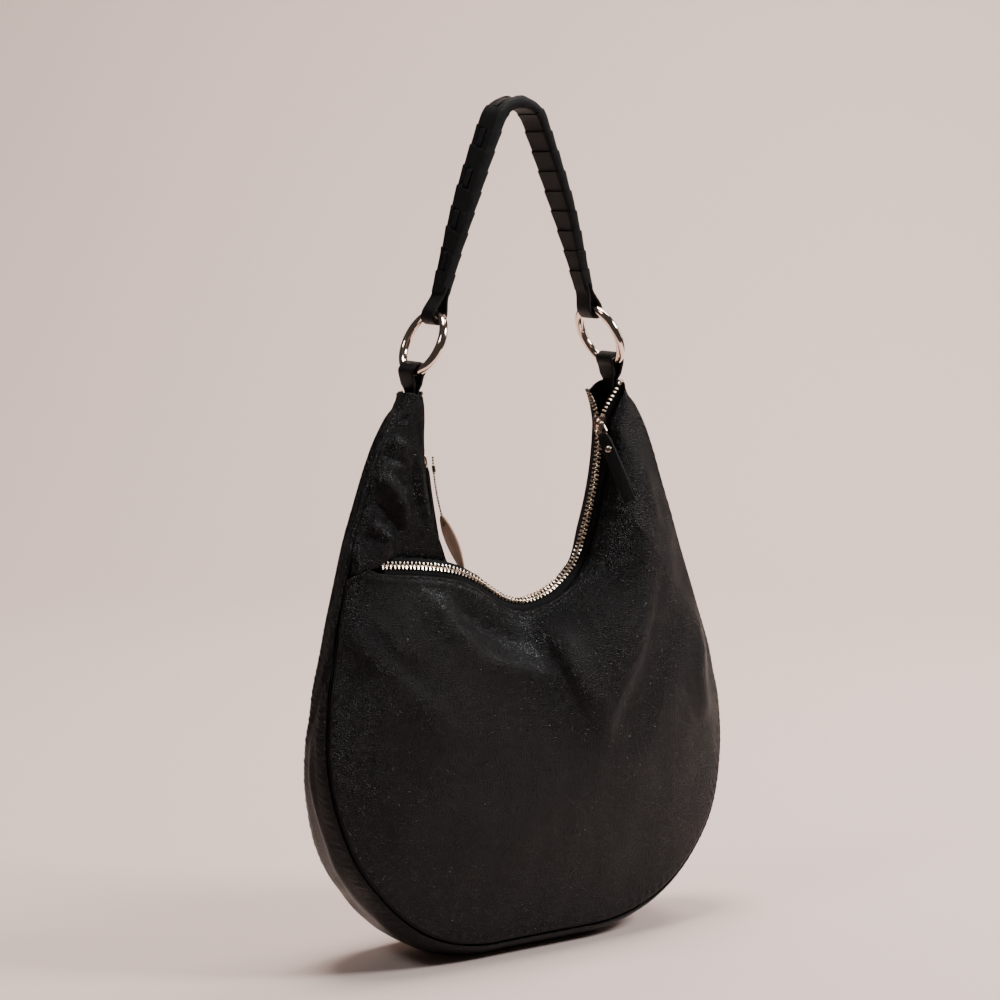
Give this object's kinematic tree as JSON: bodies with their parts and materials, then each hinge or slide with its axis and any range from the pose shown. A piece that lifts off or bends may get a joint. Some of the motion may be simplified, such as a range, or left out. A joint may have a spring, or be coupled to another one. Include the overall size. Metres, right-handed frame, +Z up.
{
  "type": "hobo bag",
  "caption": "Soft black leather hobo bag with two zipped compartments, curved dip, wrapped top handle on two metal rings, and leather zip pulls.",
  "frame": {"origin": "on the floor under the middle of the handle, in the flat of the bottom gusset", "axes": "+X along the width, +Y towards the rear face, +Z up"},
  "size_m": [0.3431, 0.0986, 0.6017],
  "materials": {
    "front_panel": "pebbled, semi-matt",
    "front_piping": "pebbled, semi-matt",
    "front_lining": "plain cloth",
    "front_zip_outer_tape": "woven tape",
    "front_zip_outer_teeth": "polished light gold",
    "front_zip_outer_stop": "polished light gold",
    "front_zip_inner_tape": "woven tape",
    "front_zip_inner_teeth": "polished light gold",
    "front_zip_inner_stop": "polished light gold",
    "front_slider": "polished light gold",
    "front_pull_ring": "polished light gold",
    "front_pull_strap": "pebbled, semi-matt",
    "front_pull_rivet": "polished light gold",
    "rear_panel": "pebbled, semi-matt",
    "rear_piping": "pebbled, semi-matt",
    "rear_lining": "plain cloth",
    "rear_zip_outer_tape": "woven tape",
    "rear_zip_outer_teeth": "polished light gold",
    "rear_zip_outer_stop": "polished light gold",
    "rear_zip_inner_tape": "woven tape",
    "rear_zip_inner_teeth": "polished light gold",
    "rear_zip_inner_stop": "polished light gold",
    "rear_slider": "polished light gold",
    "rear_pull_ring": "polished light gold",
    "rear_pull_strap": "pebbled, semi-matt",
    "rear_pull_rivet": "polished light gold",
    "middle_panel": "pebbled, semi-matt",
    "gusset": "pebbled, semi-matt",
    "left_tab": "pebbled, semi-matt",
    "right_tab": "pebbled, semi-matt",
    "left_handle_loop": "pebbled, semi-matt",
    "right_handle_loop": "pebbled, semi-matt",
    "handle_core": "pebbled, semi-matt",
    "handle_wrap": "pebbled, semi-matt",
    "handle_weave": "pebbled, semi-matt",
    "base_board": "plain",
    "left_ring": "polished light rose gold",
    "right_ring": "polished light rose gold",
    "ball_chain": "polished",
    "chain_connector": "polished",
    "tag_eyelet": "polished",
    "tag": "smooth tan"
  },
  "bodies": {
    "bag": {"front_panel": "front_panel", "rear_panel": "rear_panel", "middle_panel": "middle_panel", "gusset": "gusset", "front_piping": "front_piping", "rear_piping": "rear_piping", "front_lining": "front_lining", "rear_lining": "rear_lining", "base_board": "base_board", "front_zip_outer_tape": "front_zip_outer_tape", "front_zip_outer_teeth": "front_zip_outer_teeth", "front_zip_outer_stop": "front_zip_outer_stop", "front_zip_inner_tape": "front_zip_inner_tape", "front_zip_inner_teeth": "front_zip_inner_teeth", "front_zip_inner_stop": "front_zip_inner_stop", "rear_zip_outer_tape": "rear_zip_outer_tape", "rear_zip_outer_teeth": "rear_zip_outer_teeth", "rear_zip_outer_stop": "rear_zip_outer_stop", "rear_zip_inner_tape": "rear_zip_inner_tape", "rear_zip_inner_teeth": "rear_zip_inner_teeth", "rear_zip_inner_stop": "rear_zip_inner_stop"},
    "handle": {"left_tab": "left_tab", "right_tab": "right_tab", "left_handle_loop": "left_handle_loop", "right_handle_loop": "right_handle_loop", "handle_core": "handle_core", "handle_wrap": "handle_wrap", "handle_weave": "handle_weave"},
    "left_ring": {"left_ring": "left_ring"},
    "right_ring": {"right_ring": "right_ring"},
    "front_slider": {"front_slider": "front_slider"},
    "rear_slider": {"rear_slider": "rear_slider"},
    "front_pull": {"front_pull_ring": "front_pull_ring", "front_pull_strap": "front_pull_strap", "front_pull_rivet": "front_pull_rivet"},
    "rear_pull": {"rear_pull_ring": "rear_pull_ring", "rear_pull_strap": "rear_pull_strap", "rear_pull_rivet": "rear_pull_rivet"},
    "hang_tag": {"ball_chain": "ball_chain", "chain_connector": "chain_connector", "tag": "tag", "tag_eyelet": "tag_eyelet"}
  },
  "joints": [
    {"name": "handle_swing", "type": "hinge", "parent": "bag", "child": "handle", "pos_m": [0, 0, 0.4036], "axis": [1, 0, 0], "range_deg": [-35, 35]},
    {"name": "left_ring_turn", "type": "hinge", "parent": "handle", "child": "left_ring", "pos_m": [-0.074, 0, 0.433], "axis": [-0.9063, 0, 0.4226], "continuous": true},
    {"name": "right_ring_turn", "type": "hinge", "parent": "handle", "child": "right_ring", "pos_m": [0.074, 0, 0.433], "axis": [-0.9063, 0, -0.4226], "continuous": true},
    {"name": "front_zip_travel", "type": "hinge", "parent": "bag", "child": "front_slider", "pos_m": [-0.153, 0, 0.37], "axis": [0, 1, 0], "range_deg": [0, 20]},
    {"name": "front_pull_swing", "type": "hinge", "parent": "front_slider", "child": "front_pull", "pos_m": [0.06795, -0.00684, 0.37], "axis": [-0.581, 0.6699, -0.4623], "range_deg": [0, 95]},
    {"name": "rear_zip_travel", "type": "hinge", "parent": "bag", "child": "rear_slider", "pos_m": [0.148, 0, 0.37], "axis": [0, -1, 0], "range_deg": [0, 6]},
    {"name": "rear_pull_swing", "type": "hinge", "parent": "rear_slider", "child": "rear_pull", "pos_m": [-0.07246, 0.00684, 0.35536], "axis": [0.5723, -0.8192, 0.0383], "range_deg": [0, 95]},
    {"name": "tag_lift", "type": "hinge", "parent": "rear_slider", "child": "hang_tag", "pos_m": [-0.06606, 0.00084, 0.35336], "axis": [0, -1, 0], "range_deg": [0, 60]}
  ],
  "couplings": [
    {"joint": "tag_lift", "follows": "rear_zip_travel", "ratio": 4}
  ]
}
